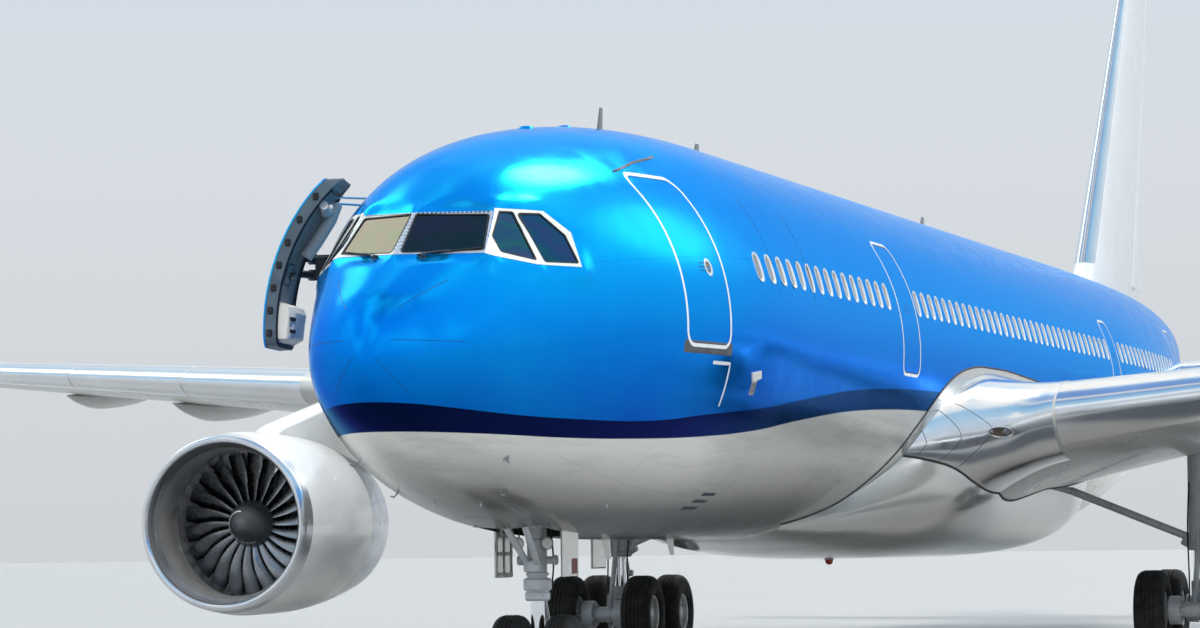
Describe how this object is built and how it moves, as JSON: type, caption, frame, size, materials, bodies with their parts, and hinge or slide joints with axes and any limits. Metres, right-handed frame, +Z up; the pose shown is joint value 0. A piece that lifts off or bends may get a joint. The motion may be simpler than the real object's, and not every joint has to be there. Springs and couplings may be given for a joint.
{
  "type": "wide body airliner, scale model 1:2",
  "caption": "Wide body twin-engine airliner on its landing gear at half size, with turning wheels and fans, nose steering, control surfaces, cargo doors and an open passenger door.",
  "frame": {"origin": "on the ground, below the middle of the length and of the span", "axes": "nose towards -Y, port wing towards +X, +Z up"},
  "size_m": [30.1556, 29.4085, 8.695],
  "materials": {
    "fuselage_paint": "glossy blue over a dark blue line and white below",
    "white_paint": "glossy white",
    "wing_paint": "light grey, semi-gloss",
    "bare_metal": "polished",
    "dark_metal": "satin",
    "gear_paint": "light grey, semi-gloss",
    "glazing": "dark, coated",
    "tyre": "matt black"
  },
  "bodies": {
    "airframe": {"radome": "fuselage_paint", "nose_section": "fuselage_paint", "forward_fuselage": "fuselage_paint", "centre_fuselage": "fuselage_paint", "rear_fuselage": "fuselage_paint", "tail_cone": "fuselage_paint", "cockpit_windows": "glazing", "passenger_door_1_left": "fuselage_paint", "passenger_door_1_right": "fuselage_paint", "belly_fairing": "white_paint", "wing_left": "wing_paint", "wing_right": "wing_paint", "inner_flap_left": "wing_paint", "inner_flap_right": "wing_paint", "outer_flap_left": "wing_paint", "outer_flap_right": "wing_paint", "engine_nacelle_left": "white_paint", "engine_nacelle_right": "white_paint", "engine_core_left": "bare_metal", "engine_core_right": "bare_metal", "engine_pylon_left": "white_paint", "engine_pylon_right": "white_paint", "fin": "white_paint", "nose_gear_leg": "gear_paint", "nose_gear_door_left": "white_paint", "nose_gear_door_right": "white_paint", "main_gear_leg_left": "gear_paint", "main_gear_leg_right": "gear_paint", "bogie_beam_left": "gear_paint", "bogie_beam_right": "gear_paint"},
    "forward_cargo_door": {"forward_cargo_door": "fuselage_paint"},
    "aft_cargo_door": {"aft_cargo_door": "fuselage_paint"},
    "aileron_left": {"aileron_left": "wing_paint"},
    "aileron_right": {"aileron_right": "wing_paint"},
    "spoilers_left": {"spoilers_left": "wing_paint"},
    "spoilers_right": {"spoilers_right": "wing_paint"},
    "fan_left": {"engine_fan_left": "dark_metal"},
    "fan_right": {"engine_fan_right": "dark_metal"},
    "rudder": {"rudder": "white_paint"},
    "stabiliser": {"horizontal_stabiliser": "wing_paint"},
    "elevator_left": {"elevator_left": "wing_paint"},
    "elevator_right": {"elevator_right": "wing_paint"},
    "nose_steering": {"nose_gear_lower_leg": "gear_paint"},
    "nose_wheels": {"nose_wheels": "bare_metal", "nose_tyre_left": "tyre", "nose_tyre_right": "tyre"},
    "wheels_front_left": {"main_wheels_front_left": "bare_metal", "main_tyre_front_inner_left": "tyre", "main_tyre_front_outer_left": "tyre"},
    "wheels_front_right": {"main_wheels_front_right": "bare_metal", "main_tyre_front_inner_right": "tyre", "main_tyre_front_outer_right": "tyre"},
    "wheels_rear_left": {"main_wheels_rear_left": "bare_metal", "main_tyre_rear_inner_left": "tyre", "main_tyre_rear_outer_left": "tyre"},
    "wheels_rear_right": {"main_wheels_rear_right": "bare_metal", "main_tyre_rear_inner_right": "tyre", "main_tyre_rear_outer_right": "tyre"}
  },
  "joints": [
    {"name": "forward_cargo_door_hinge", "type": "hinge", "parent": "airframe", "child": "forward_cargo_door", "pos_m": [-1.38311, -9.055, 2.21], "axis": [-0.0009, 1, 0], "range_deg": [0, 140]},
    {"name": "aft_cargo_door_hinge", "type": "hinge", "parent": "airframe", "child": "aft_cargo_door", "pos_m": [-1.36442, 4.295, 2.21], "axis": [0.0392, 0.9992, 0], "range_deg": [0, 140]},
    {"name": "aileron_left_hinge", "type": "hinge", "parent": "airframe", "child": "aileron_left", "pos_m": [10.45, 2.86348, 2.83972], "axis": [0.9123, 0.402, 0.0785], "range_deg": [-25, 25]},
    {"name": "aileron_right_hinge", "type": "hinge", "parent": "airframe", "child": "aileron_right", "pos_m": [-10.45, 2.86348, 2.83972], "axis": [0.9123, -0.402, -0.0785], "range_deg": [-25, 25]},
    {"name": "spoilers_left_hinge", "type": "hinge", "parent": "airframe", "child": "spoilers_left", "pos_m": [5.15, 0.09164, 2.5347], "axis": [0.9063, 0.4178, 0.0638], "range_deg": [0, 50]},
    {"name": "spoilers_right_hinge", "type": "hinge", "parent": "airframe", "child": "spoilers_right", "pos_m": [-5.15, 0.09164, 2.5347], "axis": [0.9063, -0.4178, -0.0638], "range_deg": [0, 50]},
    {"name": "fan_left_spin", "type": "hinge", "parent": "airframe", "child": "fan_left", "pos_m": [4.685, -4.4, 1.195], "axis": [0, 1, 0], "continuous": true},
    {"name": "fan_right_spin", "type": "hinge", "parent": "airframe", "child": "fan_right", "pos_m": [-4.685, -4.4, 1.195], "axis": [0, 1, 0], "continuous": true},
    {"name": "rudder_hinge", "type": "hinge", "parent": "airframe", "child": "rudder", "pos_m": [0, 11.82895, 3.945], "axis": [0, 0.4488, 0.8936], "range_deg": [-35, 35]},
    {"name": "stabiliser_trim", "type": "hinge", "parent": "airframe", "child": "stabiliser", "pos_m": [0, 12.87, 2.875], "axis": [1, 0, 0], "range_deg": [-2, 14]},
    {"name": "elevator_left_hinge", "type": "hinge", "parent": "stabiliser", "child": "elevator_left", "pos_m": [1.125, 13.10274, 2.93788], "axis": [0.9383, 0.3313, 0.099], "range_deg": [-15, 30]},
    {"name": "elevator_right_hinge", "type": "hinge", "parent": "stabiliser", "child": "elevator_right", "pos_m": [-1.125, 13.10274, 2.93788], "axis": [0.9383, -0.3313, -0.099], "range_deg": [-15, 30]},
    {"name": "nose_steering", "type": "hinge", "parent": "airframe", "child": "nose_steering", "pos_m": [0, -11.37, 0.2625], "axis": [0, 0, 1], "range_deg": [-72, 72]},
    {"name": "nose_wheels_spin", "type": "hinge", "parent": "nose_steering", "child": "nose_wheels", "pos_m": [0, -11.37, 0.2625], "axis": [1, 0, 0], "continuous": true},
    {"name": "wheels_front_left_spin", "type": "hinge", "parent": "airframe", "child": "wheels_front_left", "pos_m": [2.67, -0.775, 0.35], "axis": [1, 0, 0], "continuous": true},
    {"name": "wheels_front_right_spin", "type": "hinge", "parent": "airframe", "child": "wheels_front_right", "pos_m": [-2.67, -0.775, 0.35], "axis": [1, 0, 0], "continuous": true},
    {"name": "wheels_rear_left_spin", "type": "hinge", "parent": "airframe", "child": "wheels_rear_left", "pos_m": [2.67, 0.215, 0.35], "axis": [1, 0, 0], "continuous": true},
    {"name": "wheels_rear_right_spin", "type": "hinge", "parent": "airframe", "child": "wheels_rear_right", "pos_m": [-2.67, 0.215, 0.35], "axis": [1, 0, 0], "continuous": true}
  ]
}
